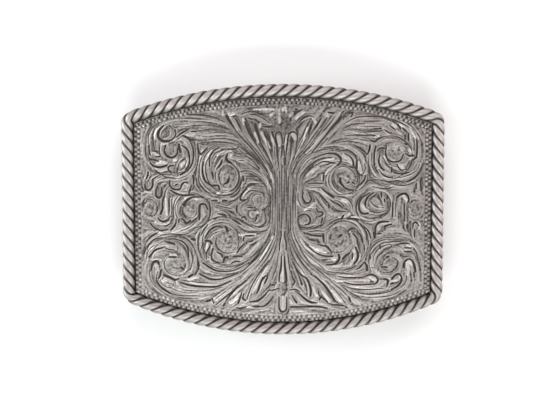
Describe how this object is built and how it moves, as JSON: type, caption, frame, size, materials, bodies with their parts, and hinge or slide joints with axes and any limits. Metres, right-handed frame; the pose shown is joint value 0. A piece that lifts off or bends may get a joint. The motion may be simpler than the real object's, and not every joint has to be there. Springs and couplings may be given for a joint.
{
  "type": "belt buckle",
  "caption": "Rectangular western belt buckle with arched edges, a rope rim and raised scrollwork, and a fixed wire loop and a leaning hook behind for a strap.",
  "frame": {"origin": "below the middle of the face, on the surface that the buckle rests on with its back down", "axes": "+X across the face to the right as seen from the front, where the loop is; +Y up the face as worn; +Z out of the face"},
  "size_m": [0.09, 0.07, 0.015],
  "materials": {
    "engraved_face": "antiqued silver plate, darkened in the recesses, worn bright on the crests",
    "rope_rim": "antiqued silver plate, bright on the strands and dark between them",
    "back_hardware": "plain satin plate"
  },
  "bodies": {
    "root": {"face_plate": "engraved_face", "rope_edge": "rope_rim", "belt_loop": "back_hardware", "hook_post": "back_hardware"}
  },
  "joints": []
}
